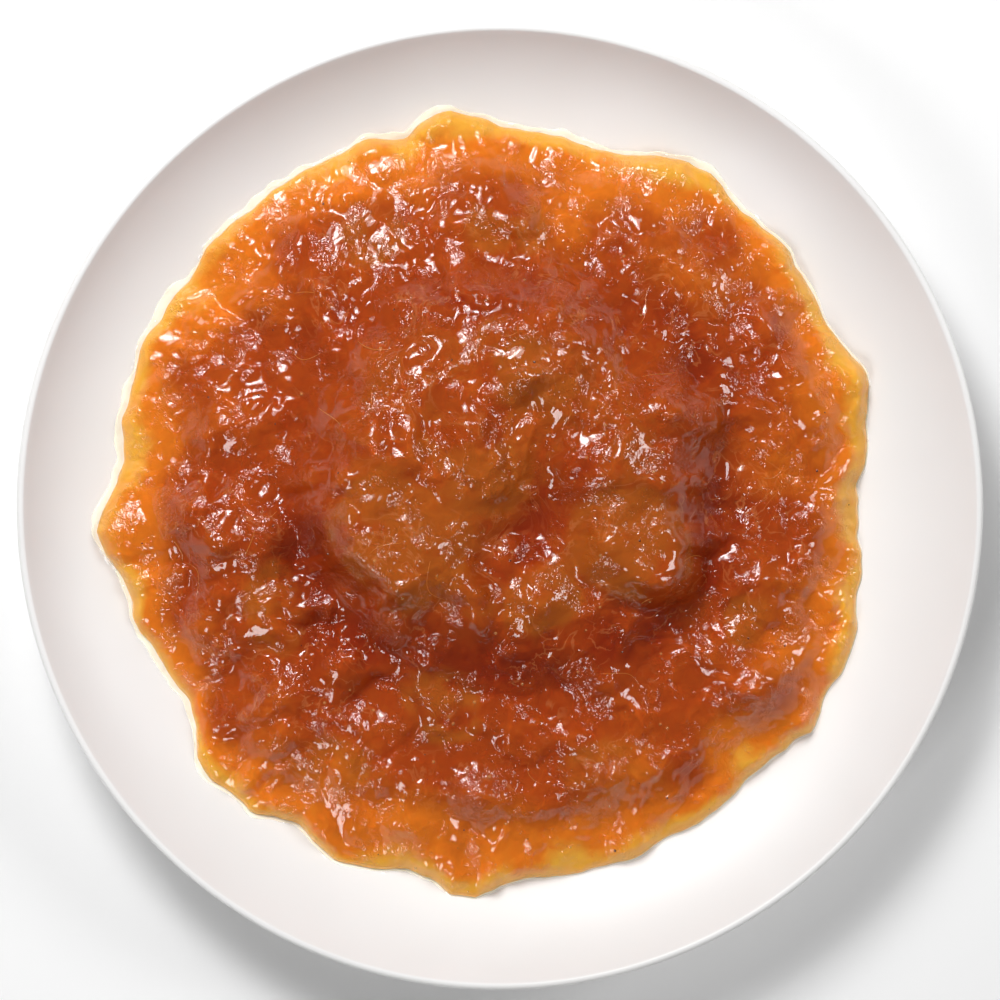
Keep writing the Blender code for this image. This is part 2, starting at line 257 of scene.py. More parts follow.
class NodeSheet:
    """A node tree with short calls to add and join its nodes."""

    def __init__(self, tree: bpy.types.NodeTree) -> None:
        """Keeps the tree that the calls work on."""
        self.tree = tree

    def add(self, kind: str, **settings: object) -> bpy.types.Node:
        """Adds a node.

        Args:
            kind: The node's type, without its ShaderNode start.
            settings: Values for the node's own properties.

        Returns:
            The new node.
        """
        node = self.tree.nodes.new("ShaderNode" + kind)
        for name, value in settings.items():
            setattr(node, name, value)
        return node

    def join(self, source: Socket, target: Socket) -> None:
        """Links one socket to another."""
        self.tree.links.new(source, target)

    def feed(self, target: Socket, value: object) -> None:
        """Joins a socket to another, or sets it to a constant.

        Args:
            target: The input.
            value: A socket, a constant, or None to leave the input as it is.
        """
        if isinstance(value, Socket):
            self.join(value, target)
        elif value is not None:
            target.default_value = value

    def maths(self, operation: str, first: object, second: object = None, third: object = None) -> Socket:
        """Adds a calculation.

        Args:
            operation: The Math node's operation.
            first: A socket or a number.
            second: A socket or a number, for the operations that take two or three.
            third: A socket or a number, for the operations that take three.

        Returns:
            The node's output.
        """
        node = self.add("Math", operation=operation)
        for target, value in zip(node.inputs, (first, second, third)):
            self.feed(target, value)
        return node.outputs[0]

    def spread(self, value: Socket, low: float, high: float) -> Socket:
        """Eases a value from 0 to 1.

        Args:
            value: The value.
            low: Where it gives 0.
            high: Where it gives 1. It may be the smaller one.

        Returns:
            The eased value.
        """
        node = self.add("MapRange", interpolation_type="SMOOTHSTEP")
        self.join(value, node.inputs["Value"])
        node.inputs["From Min"].default_value = low
        node.inputs["From Max"].default_value = high
        return node.outputs["Result"]

    def blend(self, share: object, first: object, second: object) -> Socket:
        """Mixes two colours.

        Args:
            share: How much of the second one, a socket or a number.
            first: A socket or a colour.
            second: A socket or a colour.

        Returns:
            The mixed colour.
        """
        node = self.add("Mix", data_type="RGBA", clamp_factor=True)
        for index, value in ((0, share), (6, first), (7, second)):
            self.feed(node.inputs[index], value)
        return node.outputs[2]

    def noise(self, place: Socket, size: float, detail: float = 2.0, bend: float = 0.0) -> Socket:
        """Adds a noise pattern on the object's own coordinates.

        Args:
            place: The coordinates.
            size: Length of one swell, in metres.
            detail: How many finer layers it has.
            bend: How far the pattern is pulled out of shape.

        Returns:
            The noise, from 0 to 1.
        """
        node = self.add("TexNoise")
        self.join(place, node.inputs["Vector"])
        node.inputs["Scale"].default_value = 1.0 / size
        node.inputs["Detail"].default_value = detail
        node.inputs["Distortion"].default_value = bend
        return node.outputs["Fac"]

    def facets(self, place: Socket, size: float, bend: float) -> Socket:
        """Adds a pattern of small cones with creases between them, on the object's own coordinates.

        Args:
            place: The coordinates.
            size: Distance between two cones, in metres.
            bend: How far the pattern is pulled out of shape, in metres.

        Returns:
            Distance from the nearest cone's tip, about 0 to 1.
        """
        pull = self.add("TexNoise")
        self.join(place, pull.inputs["Vector"])
        pull.inputs["Scale"].default_value = 0.6 / size
        bent = self.add("VectorMath", operation="MULTIPLY_ADD")
        self.join(pull.outputs["Color"], bent.inputs[0])
        bent.inputs[1].default_value = (bend, bend, bend)
        self.join(place, bent.inputs[2])
        node = self.add("TexVoronoi")
        self.join(bent.outputs["Vector"], node.inputs["Vector"])
        node.inputs["Scale"].default_value = 1.0 / size
        return node.outputs["Distance"]

    def layer(self, layer: Layer) -> Socket:
        """The per-point value of that name."""
        return self.add("Attribute", attribute_name=layer.value).outputs["Fac"]

    def group(self, name: str, values: dict[str, object]) -> bpy.types.Node:
        """Places a node group and fills its inputs.

        Args:
            name: The group's name.
            values: A socket, colour or number for each named input.

        Returns:
            The group's node.
        """
        node = self.add("Group")
        node.node_tree = bpy.data.node_groups[name]
        for key, value in values.items():
            self.feed(node.inputs[key], value)
        return node

    def bump(self, height: Socket, distance: float) -> Socket:
        """Adds a bump.

        Args:
            height: The relief's height, as a share of the distance.
            distance: Length that a height of 1 stands for, in metres.

        Returns:
            The direction in which the bumpy surface faces.
        """
        node = self.add("Bump")
        node.inputs["Distance"].default_value = distance
        self.join(height, node.inputs["Height"])
        return node.outputs["Normal"]


def new_group(
    name: str, inputs: dict[str, str], outputs: dict[str, str]
) -> tuple[NodeSheet, bpy.types.Node, bpy.types.Node]:
    """Starts a shader node group.

    Args:
        name: The group's name.
        inputs: Socket type for each input's name.
        outputs: Socket type for each output's name.

    Returns:
        The group's sheet, its input node and its output node.
    """
    tree = bpy.data.node_groups.new(name, "ShaderNodeTree")
    for direction, sockets in (("INPUT", inputs), ("OUTPUT", outputs)):
        for socket, kind in sockets.items():
            tree.interface.new_socket(socket, in_out=direction, socket_type=kind)
    return NodeSheet(tree), tree.nodes.new("NodeGroupInput"), tree.nodes.new("NodeGroupOutput")


def build_gel_group() -> None:
    """Makes the group that mixes the wet gel's colour, for the heap and for its fruit, with painted shade,
    painted light and a painted pinkish sheen among its tones.
    """
    colour, number = "NodeSocketColor", "NodeSocketFloat"
    inputs = {**dict.fromkeys(TONES, colour), **{layer.value + " share": number for layer in Layer}}
    sheet, source, result = new_group(GEL_GROUP, inputs, {"Colour": colour, "Roughness": number})
    given = source.outputs
    place = sheet.add("TexCoord").outputs["Object"]
    clouds = sheet.noise(place, CLOUD_SIZE, 2.0, 0.8)
    flecks = sheet.noise(place, FLECK_SIZE, 4.0, 0.6)
    threads = sheet.noise(place, THREAD_SIZE, 4.0, 1.4)
    # Painted shade: darker in the hollows and pools, mixed with random clouds and flecks; painted light:
    # lighter on raised places
    shade_and_tone = sheet.maths("MULTIPLY_ADD", flecks, 0.25, given["hollow share"])
    shade_and_tone = sheet.maths("MULTIPLY_ADD", clouds, 0.7, shade_and_tone)
    shaded = sheet.blend(sheet.spread(shade_and_tone, 0.9, 1.5), given["body"], given["painted_shade"])
    raised = sheet.blend(sheet.spread(shade_and_tone, 0.95, 0.5), shaded, given["ridge"])
    fruity = sheet.maths("MULTIPLY_ADD", threads, 1.2, given["amber share"])
    ambered = sheet.blend(sheet.spread(fruity, 0.7, 1.5), raised, given["amber"])
    # Painted sheen: a pale pinkish tone along thin curved lines, in patches
    line = sheet.maths("ABSOLUTE", sheet.maths("SUBTRACT", threads, 0.5))
    sheen_lines = sheet.maths("MULTIPLY", sheet.spread(line, 0.035, 0.0), sheet.spread(clouds, 0.45, 0.65))
    sheened = sheet.blend(sheet.maths("MULTIPLY", sheen_lines, 0.5), ambered, given["painted_sheen"])
    uneven = sheet.maths("MULTIPLY_ADD", flecks, 0.3, given["thin share"])
    thinned = sheet.blend(sheet.spread(uneven, 0.15, 0.8), sheened, given["thin"])
    edged = sheet.blend(sheet.spread(uneven, 0.80, 1.20), thinned, given["edge"])
    sheet.join(edged, result.inputs["Colour"])
    sheet.join(sheet.maths("MULTIPLY_ADD", flecks, 0.25, 0.12), result.inputs["Roughness"])


def build_wrinkle_group() -> None:
    """Makes the group of fine wet wrinkles, for the bump of the heap and of its fruit."""
    number = "NodeSocketFloat"
    sheet, source, result = new_group(WRINKLE_GROUP, {"Strength": number}, {"Height": number})
    place = sheet.add("TexCoord").outputs["Object"]
    wiggles = sheet.noise(place, WIGGLE_SIZE, 1.0, 1.2)
    ridges = sheet.maths("ABSOLUTE", sheet.maths("MULTIPLY_ADD", wiggles, 2.0, -1.0))
    crumples = sheet.maths("MULTIPLY_ADD", sheet.facets(place, CONE_SIZE, CONE_BEND), 0.8, ridges)
    patches = sheet.spread(sheet.noise(place, CRINKLED_PATCH_SIZE, 2.0, 0.5), 0.43, 0.57)
    patches = sheet.maths("MULTIPLY_ADD", patches, 1.0 - CALM_SHARE, CALM_SHARE)
    crinkled = sheet.maths("MULTIPLY", crumples, patches)
    sheet.join(sheet.maths("MULTIPLY", crinkled, source.outputs["Strength"]), result.inputs["Height"])


def start_material(name: str) -> tuple[bpy.types.Material, NodeSheet, bpy.types.Node]:
    """Makes a material.

    Args:
        name: Its name.

    Returns:
        The material, its node sheet and its Principled shader.
    """
    material = bpy.data.materials.new(name)
    material.use_nodes = True
    return material, NodeSheet(material.node_tree), material.node_tree.nodes["Principled BSDF"]


@dataclass(frozen=True)
class GelFinish:
    """Wet translucent gel. Its colour goes from painted shade in the hollows, with painted light on raised
    places and a painted pinkish sheen along thin lines, to pale at the thin edge.
    """

    name: str
    # Among the tones: painted shade for hollows, painted light for raised places and a painted pinkish sheen
    painted_shade: Colour
    body: Colour
    ridge: Colour
    amber: Colour
    painted_sheen: Colour
    thin: Colour
    edge: Colour
    glow_reach: float = 2.6 * MM
    wrinkle: float = 0.15 * MM

    def material(self) -> bpy.types.Material:
        """Builds the material.

        Returns:
            The new material.
        """
        material, sheet, shader = start_material(self.name)
        values = {tone: getattr(self, tone) for tone in TONES}
        values.update({layer.value + " share": sheet.layer(layer) for layer in Layer})
        tone = sheet.group(GEL_GROUP, values)
        sheet.join(tone.outputs["Colour"], shader.inputs["Base Color"])
        sheet.join(tone.outputs["Roughness"], shader.inputs["Roughness"])
        wrinkles = sheet.group(WRINKLE_GROUP, {"Strength": self.wrinkle / MM})
        normal = sheet.bump(wrinkles.outputs["Height"], MM)
        sheet.join(normal, shader.inputs["Normal"])
        sheet.join(normal, shader.inputs["Coat Normal"])
        shader.subsurface_method = "BURLEY"
        settings = {
            "Subsurface Weight": 1.0,
            "Subsurface Radius": (1.0, 0.4, 0.15),
            "Subsurface Scale": self.glow_reach,
            "IOR": 1.45,
            "Specular IOR Level": 0.0,
            "Coat Weight": 1.0,
            "Coat Roughness": 0.02,
        }
        for socket, value in settings.items():
            shader.inputs[socket].default_value = value
        return material


@dataclass(frozen=True)
class GlazeFinish:
    """White glazed porcelain, bare and rougher where the foot meets the table."""

    name: str = "white_glaze"
    glaze: Colour = (0.885, 0.88, 0.873, 1.0)
    glaze_shade: Colour = (0.86, 0.85, 0.84, 1.0)
    bare: Colour = (0.74, 0.71, 0.67, 1.0)
    bare_height: float = 0.35 * MM
    cloud_size: float = 30 * MM
    grit_size: float = 0.4 * MM
    ripple_size: float = 9 * MM
    relief: float = 0.04 * MM

    def material(self) -> bpy.types.Material:
        """Builds the material.

        Returns:
            The new material.
        """
        material, sheet, shader = start_material(self.name)
        place = sheet.add("TexCoord").outputs["Object"]
        height = sheet.add("SeparateXYZ")
        sheet.join(place, height.inputs[0])
        bare = sheet.spread(height.outputs["Z"], self.bare_height * 1.5, self.bare_height)
        cloud = sheet.noise(place, self.cloud_size)
        glaze = sheet.blend(sheet.spread(cloud, 0.35, 0.7), self.glaze, self.glaze_shade)
        grit = sheet.noise(place, self.grit_size)
        sheet.join(sheet.blend(bare, glaze, self.bare), shader.inputs["Base Color"])
        sheet.join(sheet.maths("MULTIPLY_ADD", bare, 0.3, 0.42), shader.inputs["Roughness"])
        ripple = sheet.noise(place, self.ripple_size)
        relief = sheet.maths("MULTIPLY_ADD", sheet.maths("MULTIPLY", grit, bare), 0.6, ripple)
        sheet.join(sheet.bump(relief, self.relief), shader.inputs["Normal"])
        return material


@dataclass(frozen=True)
class FilmFinish:
    """Clear syrup, or the skin of a bubble, bead, fibre or speck: see-through where its cover is under 1."""

    name: str
    tint: Colour
    cover: float = 0.3
    roughness: float = 0.03
    cloud_size: float = 4 * MM
    paler: float = 1.25

    def material(self) -> bpy.types.Material:
        """Builds the material.

        Returns:
            The new material.
        """
        material, sheet, shader = start_material(self.name)
        place = sheet.add("TexCoord").outputs["Object"]
        cloud = sheet.noise(place, self.cloud_size)
        pale = tuple(min(1.0, self.paler * value) for value in self.tint)
        sheet.join(sheet.blend(sheet.spread(cloud, 0.3, 0.7), self.tint, pale), shader.inputs["Base Color"])
        shader.inputs["Roughness"].default_value = self.roughness
        shader.inputs["IOR"].default_value = 1.42
        facing_in = sheet.add("NewGeometry").outputs["Backfacing"]
        sheet.join(sheet.maths("MULTIPLY_ADD", facing_in, -self.cover, self.cover), shader.inputs["Alpha"])
        shader.inputs["Coat Weight"].default_value = 1.0
        shader.inputs["Coat Roughness"].default_value = self.roughness
        return material


def finish_piece(piece: bpy.types.Object, material: bpy.types.Material, slot: Slot, *nodes: str) -> None:
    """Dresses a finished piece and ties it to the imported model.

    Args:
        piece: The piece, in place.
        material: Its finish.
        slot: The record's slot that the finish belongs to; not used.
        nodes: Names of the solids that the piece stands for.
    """
    piece.data.materials.clear()
    piece.data.materials.append(material)
    activate(piece)
    bpy.ops.object.shade_smooth()
    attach(piece, "root")
    if nodes:
        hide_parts(*nodes)
    log.info("%s: %d faces", piece.name, len(piece.data.polygons))


@dataclass
class Plate:
    """The coupe plate: a flat well, a wall that curves up to a rounded lip, and a foot ring."""

    node: str = "plate"
    well_radius: float = 60 * MM
    wall_angle: float = math.radians(51.0)
    floor_top: float = 5.2 * MM
    body_thickness: float = 3.4 * MM
    lip_radius: float = 0.8 * MM
    foot_outer_radius: float = 53 * MM
    foot_width: float = 4 * MM
    foot_recess: float = 1.5 * MM
    foot_rounding: float = 0.5 * MM
    wall_steps: int = 28
    lip_steps: int = 12
    segments: int = 288

    @property
    def radius(self) -> float:
        """The plate's outer radius, as the solid has it."""
        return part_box(self.node)[1][0]

    @property
    def wall_arc(self) -> float:
        """Radius of the arc that the inner face follows from the well to the lip."""
        lip = self.lip_radius * (1.0 + math.sin(self.wall_angle))
        return (self.radius - self.well_radius - lip) / math.sin(self.wall_angle)

    def inner_face(self, radius: np.ndarray) -> np.ndarray:
        """Height of the inner face at each distance from the centre."""
        out = np.clip(radius - self.well_radius, 0.0, self.wall_arc * math.sin(self.wall_angle))
        return self.floor_top + self.wall_arc - np.sqrt(self.wall_arc**2 - out**2)

    def section(self) -> list[tuple[float, float]]:
        """The plate's outline from the centre of the well, over the lip, to the centre of the foot.

        Returns:
            Pairs of distance from the centre and height.
        """
        arc = self.wall_arc
        points = [(self.well_radius * step / 8, self.floor_top) for step in range(8)]
        for step in range(self.wall_steps + 1):
            angle = self.wall_angle * step / self.wall_steps
            rise = arc * (1.0 - math.cos(angle))
            points.append((self.well_radius + arc * math.sin(angle), self.floor_top + rise))
        lip_x = points[-1][0] + self.lip_radius * math.sin(self.wall_angle)
        lip_z = points[-1][1] - self.lip_radius * math.cos(self.wall_angle)
        for step in range(1, self.lip_steps + 1):
            angle = self.wall_angle + math.pi / 2.0 - math.pi * step / self.lip_steps
            out, up = self.lip_radius * math.cos(angle), self.lip_radius * math.sin(angle)
            points.append((lip_x + out, lip_z + up))
        for step in range(self.wall_steps - 1, -1, -1):
            share = step / self.wall_steps
            angle = self.wall_angle * share
            outer = arc + 2.0 * self.lip_radius * share + self.body_thickness * (1.0 - share)
            out, up = outer * math.sin(angle), arc - outer * math.cos(angle)
            points.append((self.well_radius + out, self.floor_top + up))
        underside = self.floor_top - self.body_thickness
        foot_inner = self.foot_outer_radius - self.foot_width
        rounding = self.foot_rounding
        points += [
            (self.foot_outer_radius + underside * 1.3, underside),
            (self.foot_outer_radius + underside * 0.8, underside * 0.9),
            (self.foot_outer_radius + rounding * 0.3, rounding),
            (self.foot_outer_radius - rounding * 0.3, rounding * 0.2),
            (self.foot_outer_radius - rounding, 0.0),
            (foot_inner + rounding, 0.0),
            (foot_inner + rounding * 0.3, rounding * 0.2),
            (foot_inner - rounding * 0.3, rounding),
            (foot_inner - self.foot_recess * 0.8, self.foot_recess * 0.93),
            (foot_inner - self.foot_recess * 1.3, self.foot_recess),
            (foot_inner * 0.5, self.foot_recess),
            (0.0, self.foot_recess),
        ]
        return points

    def build(self) -> None:
        """Extrudes the outline point by point, spins it round the centre and dresses it."""
        deselect_all()
        points = self.section()
        bpy.ops.mesh.primitive_plane_add(size=MM, location=(0.0, 0.0, points[0][1]))
        plate = bpy.context.object
        plate.name = "coupe_plate"
        settle_in_mesh(plate)
        edit_all(plate)
        bpy.ops.mesh.merge(type="CENTER")
        for before, after in zip(points, points[1:]):
            step = (after[0] - before[0], 0.0, after[1] - before[1])
            bpy.ops.mesh.extrude_region_move(TRANSFORM_OT_translate={"value": step})
        bpy.ops.mesh.select_all(action="SELECT")
        bpy.ops.mesh.spin(steps=self.segments, angle=math.tau, center=(0.0, 0.0, 0.0), axis=(0.0, 0.0, 1.0))
        bpy.ops.mesh.select_all(action="SELECT")
        bpy.ops.mesh.remove_doubles(threshold=MERGE_DISTANCE)
        turn_outward(plate)
        finish_piece(plate, GlazeFinish().material(), Slot.GLAZE, self.node)


@dataclass(frozen=True)
class Flakes:
    """The pulp's small overlapping lumps, as rounded patches whose highest one shows."""

    count: int
    length: tuple[float, float]
    height: tuple[float, float]
    seed: int
    slope: float = 0.18
    slimness: tuple[float, float] = (0.4, 0.9)
    crease: float = 6.0

    def relief(self, x: np.ndarray, y: np.ndarray, reach: float) -> np.ndarray:
        """Height of the lumps.

        Args:
            x: Each point's place across.
            y: Each point's place along.
            reach: Radius of the disc that the lumps are scattered over.

        Returns:
            Height above the lumps' lowest level, for each point.
        """
        draw = random.Random(self.seed)
        relief = np.zeros_like(x)
        for _ in range(self.count):
            turn = draw.uniform(0.0, math.tau)
            distance = reach * math.sqrt(draw.random())
            length = draw.uniform(*self.length)
            width = length * draw.uniform(*self.slimness)
            height = draw.uniform(*self.height)
            lean = draw.uniform(-self.slope, self.slope)
            facing = draw.uniform(0.0, math.pi)
            off_x = x - distance * math.cos(turn)
            off_y = y - distance * math.sin(turn)
            near = np.flatnonzero((np.abs(off_x) < length) & (np.abs(off_y) < length))
            along = off_x[near] * math.cos(facing) + off_y[near] * math.sin(facing)
            across = off_y[near] * math.cos(facing) - off_x[near] * math.sin(facing)
            inside = 1.0 - (along / length) ** 2 - (across / width) ** 2
            inside = np.clip(inside, 0.0, 1.0)
            rise = np.clip(height * inside**0.8 + lean * along * inside, 0.0, None) / MM
            relief[near] += rise**self.crease
        return MM * relief ** (1.0 / self.crease)


@dataclass(frozen=True)
class Pulp:
    """The relief that the heap and its fruit share: soft lumps, folds, film lines and crinkled patches."""

    centre: tuple[float, float] = (1 * MM, 8 * MM)
    reach: float = 75 * MM
    bend: float = 1.3 * MM
    fold_height: float = 0.35 * MM
    film_height: float = 0.30 * MM
    crinkle_height: float = 0.32 * MM
    level: float = 1.1 * MM
    large: Flakes = Flakes(190, (5 * MM, 11 * MM), (0.5 * MM, 1.6 * MM), 3)
    small: Flakes = Flakes(1000, (1.4 * MM, 3.8 * MM), (0.1 * MM, 0.4 * MM), 4)
    bend_size: float = 5 * MM
    fine_bend_size: float = 1.6 * MM
    fine_bend: float = 0.3
    fold_size: float = 13 * MM
    swirl_width: float = 26 * MM
    swirl_stretch: float = 2.6
    film_size: float = 6.5 * MM
    film_width: float = 0.07
    film_patch_size: float = 8 * MM
    crinkle_size: float = 2.4 * MM
    crinkle_patch_size: float = 7 * MM
    hollow_level: float = 0.42
    hollow_slope: float = 0.35
    hollow_height: float = 0.9 * MM

    def hollow(self, height: np.ndarray) -> np.ndarray:
        """Painted shade at each point, from its height over the level around it: more in hollows, less on
        raised places.
        """
        return self.hollow_level - self.hollow_slope * height / self.hollow_height

    def bent(self, points: np.ndarray, seed: float) -> np.ndarray:
        """How far the pattern is pulled aside at each point."""
        pull = noise_over(points, self.bend_size, seed)
        return self.bend * (pull + self.fine_bend * noise_over(points, self.fine_bend_size, seed + 1.0))

    def relief(self, x: np.ndarray, y: np.ndarray) -> np.ndarray:
        """Height of the pulp at each point.

        Args:
            x: Each point's place across.
            y: Each point's place along.

        Returns:
            The height to add.
        """
        flat = np.zeros_like(x)
        points = np.stack((x, y, flat), axis=1)
        bent_x, bent_y = x + self.bent(points, 11.0), y + self.bent(points, 13.0)
        lumps = self.large.relief(bent_x, bent_y, self.reach) + self.small.relief(bent_x, bent_y, self.reach)
        from_x, from_y = bent_x - self.centre[0], bent_y - self.centre[1]
        radius, turn = np.hypot(from_x, from_y), np.arctan2(from_y, from_x)
        width = self.swirl_width
        swirl = np.stack((radius * self.swirl_stretch, np.cos(turn) * width, np.sin(turn) * width), axis=1)
        folds = 1.0 - 2.0 * np.abs(noise_over(swirl, self.fold_size, 21.0))
        bent = np.stack((bent_x, bent_y, flat), axis=1)
        films = np.exp(-((noise_over(bent, self.film_size, 35.0) / self.film_width) ** 2))
        films *= smoothstep(0.5 + 1.4 * noise_over(points, self.film_patch_size, 36.0))
        crinkles = 1.0 - 2.0 * np.abs(noise_over(bent, self.crinkle_size, 31.0, 2))
        crinkles *= smoothstep(0.45 + 1.6 * noise_over(points, self.crinkle_patch_size, 37.0))
        raised = self.fold_height * folds + self.film_height * films + self.crinkle_height * crinkles
        return lumps + raised - self.level


@dataclass(frozen=True)
class Pool:
    """A place painted darker between the fruit: partly deeper clear gel, partly painted shade. The turn is in
    degrees.
    """

    x: float
    y: float
    length: float
    width: float
    turn: float
    strength: float = 1.0

    def share(self, points: np.ndarray) -> np.ndarray:
        """How far each point lies in the pool.

        Args:
            points: One row of x, y and z for each point.

        Returns:
            One number for each point, from 0 to the pool's strength.
        """
        turn = math.radians(self.turn)
        off_x, off_y = points[:, 0] - self.x, points[:, 1] - self.y
        along = off_x * math.cos(turn) + off_y * math.sin(turn)
        across = off_y * math.cos(turn) - off_x * math.sin(turn)
        return self.strength * np.exp(-((along / self.length) ** 2) - (across / self.width) ** 2)


# Places painted darker: partly deeper clear gel, partly painted shade
POOLS = (
    Pool(-36 * MM, -12 * MM, 14 * MM, 6 * MM, 95.0),
    Pool(-26 * MM, -25 * MM, 12 * MM, 6 * MM, 315.0),
    Pool(-3 * MM, -29 * MM, 18 * MM, 6 * MM, 355.0),
    Pool(24 * MM, -24 * MM, 14 * MM, 6 * MM, 30.0),
    Pool(41 * MM, -4 * MM, 12 * MM, 6 * MM, 95.0),
    Pool(6 * MM, -5 * MM, 12 * MM, 4.5 * MM, 60.0, 0.9),
    Pool(-2 * MM, 38 * MM, 14 * MM, 4 * MM, 5.0, 0.7),
    Pool(34 * MM, 30 * MM, 14 * MM, 6 * MM, 315.0, 0.7),
    Pool(-30 * MM, 33 * MM, 12 * MM, 5 * MM, 40.0, 0.5),
    Pool(14 * MM, 6 * MM, 6 * MM, 4 * MM, 80.0, 0.7),
)


@dataclass
class Heap:
    """The heap of gel: a fine grid laid over its solid, with pulp, folds and wrinkles raised on it."""

    plate: Plate
    pulp: Pulp
    fruit: list[str]
    node: str = "marmalade"
    cells: int = 292
    edge_samples: int = 100
    edge_inset: float = 0.2 * MM
    edge_ragged: float = 1.5 * MM
    edge_spread: float = 0.9 * MM
    runny_spread: float = 1.0 * MM
    runny_side: float = math.radians(160.0)
    edge_fade: float = 1.8 * MM
    edge_round: float = 2.4 * MM
    edge_low: float = 0.3
    margin: float = 7 * MM
    fruit_cover: float = 0.15 * MM
    fillet_steps: int = 110
    bridging_steps: int = 700
    gap: float = 0.3 * MM
    sink: float = 0.03 * MM
    mound_radius: float = 36 * MM
    mound_fade: float = 10 * MM
    lobe_size: float = 9 * MM
    small_lobe_size: float = 3.6 * MM
    amber_reach: float = 2.2 * MM
    amber_patch_size: float = 6 * MM
    local_steps: int = 40
    bed_margin: float = 0.004
    even_steps: int = 6
    least_thickness: float = 0.5
    depth_size: float = 14 * MM
    depth_unevenness: float = 1.3
    glow_size: float = 10 * MM
    glow_reach: float = 2.5
    glow: float = 0.32
    mound_amber: float = 0.45
    pool_clearness: float = 0.8
    # How far the pools are painted darker: partly deeper clear gel, partly painted shade
    pool_depth_and_shade: float = 0.55
    under_layers: tuple[float, float, float] = (0.5, 0.9, 0.0)
    underside: tuple[float, ...] = (0.985, 0.95, 0.93, 0.9)

    @property
    def rows(self) -> tuple[int, int]:
        """Rows and columns of the grid's points."""
        return self.cells + 1, self.cells + 1

    def solid_reach(self, angle: np.ndarray) -> np.ndarray:
        """How far out the solid's edge is.

        Args:
            angle: Directions from the centre, in radians.

        Returns:
            The distance from the centre for each angle.
        """
        points = read_points(bpy.data.objects[self.node])
        step = math.tau / self.edge_samples
        which = np.rint(np.arctan2(points[:, 1], points[:, 0]) / step).astype(int) % self.edge_samples
        reach = np.zeros(self.edge_samples)
        np.maximum.at(reach, which, np.hypot(points[:, 0], points[:, 1]))
        return np.interp(angle % math.tau, np.arange(self.edge_samples) * step, reach, period=math.tau)

    def edge_reach(self, angle: np.ndarray) -> np.ndarray:
        """How far out the heap's edge is, with its small ragged lobes.

        Args:
            angle: Directions from the centre, in radians.

        Returns:
            The distance from the centre for each angle.
        """
        rim = np.stack((np.cos(angle), np.sin(angle), np.zeros_like(angle)), axis=1) * self.mound_radius * 2.0
        ragged = 1.2 * noise_over(rim, self.lobe_size, 2.0) + 0.4 * noise_over(rim, self.small_lobe_size, 5.0)
        runny = self.runny_spread * np.clip(np.cos(angle - self.runny_side), 0.0, 1.0)
        return self.solid_reach(angle) + self.edge_spread + runny + self.edge_ragged * ragged

    def blur(self, field: np.ndarray, times: int) -> np.ndarray:
        """Evens out a value over the grid.

        Args:
            field: The value at each point, in the grid's rows.
            times: How often each point takes the mean with its neighbours.

        Returns:
            The evened value.
        """
        for _ in range(times):
            padded = np.pad(field, 1, mode="edge")
            beside = padded[:-2, 1:-1] + padded[2:, 1:-1] + padded[1:-1, :-2] + padded[1:-1, 2:]
            field = 0.5 * field + 0.125 * beside
        return field

    def thickness(self, share: np.ndarray, angle: np.ndarray) -> np.ndarray:
        """Thickness of the gel over the plate, as the solid has it, with its fruit's beds closed.

        Args:
            share: How far out each grid point is, from 0 at the centre to 1 at the edge.
            angle: Its angle.

        Returns:
            The thickness at each point.
        """
        reach = self.solid_reach(angle) - self.edge_inset
        x, y = share * reach * np.cos(angle), share * reach * np.sin(angle)
        gel = surface_of([self.node])
        fruit = surface_of(self.fruit)
        level = np.full(len(x), np.nan)
        top = np.full(len(x), -np.inf)
        for index, (here_x, here_y) in enumerate(zip(x, y)):
            above = drop_onto(fruit, here_x, here_y)
            hit = drop_onto(gel, here_x, here_y)
            if above is not None:
                top[index] = above
            elif hit is not None:
                level[index] = hit
        plate = self.plate.inner_face(share * reach).reshape(self.rows) + self.gap
        bed = np.isfinite(top).reshape(self.rows).astype(float)
        level = level.reshape(self.rows) - plate
        outside = np.isfinite(level) & (self.blur(bed, self.even_steps) < self.bed_margin)
        open_gel = np.where(outside, level, np.mean(level[outside]))
        for _ in range(self.bridging_steps):
            open_gel = np.where(outside, level, self.blur(open_gel, 1))
        covered = top.reshape(self.rows) - plate + self.fruit_cover
        thick = np.where(bed > 0.5, np.maximum(open_gel, covered), open_gel)
        soft_bed = self.blur(bed, self.fillet_steps)
        beside = smoothstep(4.0 * soft_bed * (1.0 - soft_bed))
        soft = self.blur(thick, self.fillet_steps)
        return self.blur(thick + beside * (soft - thick), self.even_steps).ravel()

    def amber_share(self, points: np.ndarray) -> np.ndarray:
        """How amber the gel is: most so beside the fruit, and more so on the mound.

        Args:
            points: One row of x, y and z for each point.

        Returns:
            One number for each point.
        """
        fruit = surface_of(self.fruit)
        away = np.array([fruit.find_nearest(Vector(row))[3] for row in points])
        patchy = np.clip(0.8 + 0.9 * noise_over(points, self.amber_patch_size, 73.0, 2), 0.2, 1.2)
        from_x, from_y = points[:, 0] - self.pulp.centre[0], points[:, 1] - self.pulp.centre[1]
        mound = smoothstep((self.mound_radius - np.hypot(from_x, from_y)) / self.mound_fade)
        return np.exp(-((away / self.amber_reach) ** 2)) * patchy + self.mound_amber * mound

    def pool_share(self, points: np.ndarray) -> np.ndarray:
        """How far the pools darken each point: partly deeper clear gel, partly painted shade.

        Args:
            points: One row of x, y and z for each point.

        Returns:
            One number from 0 to 1 for each point.
        """
        share = np.zeros(len(points))
        for pool in POOLS:
            share = np.maximum(share, pool.share(points))
        return share

